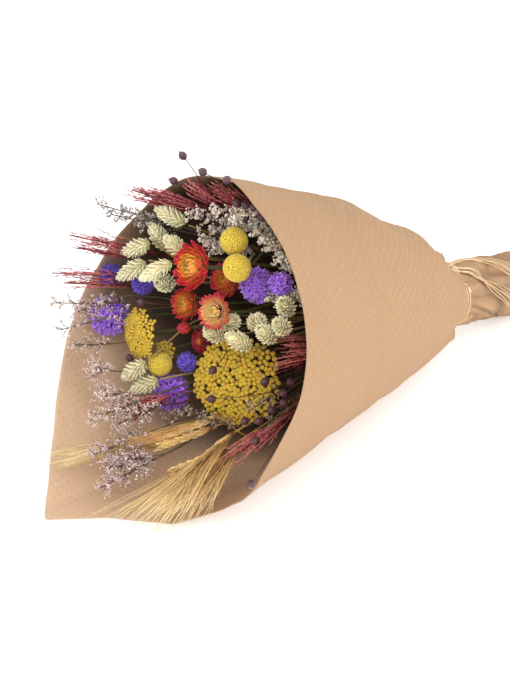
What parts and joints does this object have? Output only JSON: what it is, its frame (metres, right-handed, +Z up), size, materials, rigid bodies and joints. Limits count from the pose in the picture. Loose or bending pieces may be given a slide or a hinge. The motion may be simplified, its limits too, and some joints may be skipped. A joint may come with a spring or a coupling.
{
  "type": "dried flower bouquet",
  "caption": "Mixed dried flower bouquet lying on its side in a cone of embossed kraft paper, its stems held in a crumpled paper sleeve tied with raffia.",
  "frame": {"origin": "middle of the bouquet's footprint on the floor it lies on", "axes": "+X along the bouquet towards the cut ends of the stems, +Z up, the flowers look towards -X and the viewer's side is -Y"},
  "size_m": [0.6152, 0.2864, 0.2842],
  "materials": {
    "kraft_paper": "matte, embossed diamond pattern",
    "sleeve_paper": "matte, crumpled",
    "raffia": "matte, fibrous",
    "stem": "matte",
    "crimson_bracts": "satin, papery",
    "orange_bracts": "satin, papery",
    "strawflower_disc": "matte",
    "craspedia": "matte, beaded",
    "yarrow": "matte, beaded",
    "statice": "satin, papery",
    "dark_statice": "satin, papery",
    "canary_grass": "matte",
    "barley": "satin straw",
    "flax": "satin",
    "red_grass": "matte",
    "cream_spray": "matte",
    "sea_lavender": "matte"
  },
  "bodies": {
    "root": {"barley_1": "barley", "barley_2": "barley", "canary_grass_1": "canary_grass", "canary_grass_2": "canary_grass", "canary_grass_3": "canary_grass", "canary_grass_4": "canary_grass", "canary_grass_5": "canary_grass", "canary_grass_6": "canary_grass", "craspedia_1": "craspedia", "craspedia_2": "craspedia", "craspedia_3": "craspedia", "cream_spray_1": "cream_spray", "cream_spray_2": "cream_spray", "flax_1": "flax", "flax_2": "flax", "flax_3": "flax", "flax_4": "flax", "flax_5": "flax", "flax_6": "flax", "flower_stems": "stem", "kraft_wrapper": "kraft_paper", "raffia_tie": "raffia", "red_grass_1": "red_grass", "red_grass_2": "red_grass", "red_grass_3": "red_grass", "red_grass_4": "red_grass", "sea_lavender_1": "sea_lavender", "sea_lavender_2": "sea_lavender", "sea_lavender_3": "sea_lavender", "sea_lavender_4": "sea_lavender", "sea_lavender_5": "sea_lavender", "sea_lavender_6": "sea_lavender", "statice_1": "statice", "statice_2": "statice", "statice_3": "statice", "statice_4": "dark_statice", "statice_5": "dark_statice", "statice_6": "statice", "statice_7": "dark_statice", "stem_sleeve": "sleeve_paper", "strawflower_1_disc": "strawflower_disc", "strawflower_1_inner_bracts": "orange_bracts", "strawflower_1_outer_bracts": "crimson_bracts", "strawflower_2_disc": "strawflower_disc", "strawflower_2_inner_bracts": "orange_bracts", "strawflower_2_outer_bracts": "crimson_bracts", "strawflower_3_disc": "strawflower_disc", "strawflower_3_inner_bracts": "orange_bracts", "strawflower_3_outer_bracts": "crimson_bracts", "strawflower_4_disc": "strawflower_disc", "strawflower_4_inner_bracts": "orange_bracts", "strawflower_4_outer_bracts": "crimson_bracts", "strawflower_5_disc": "strawflower_disc", "strawflower_5_inner_bracts": "orange_bracts", "strawflower_5_outer_bracts": "crimson_bracts", "strawflower_bud": "crimson_bracts", "yarrow_1": "yarrow", "yarrow_2": "yarrow", "yarrow_3": "yarrow"}
  },
  "joints": []
}
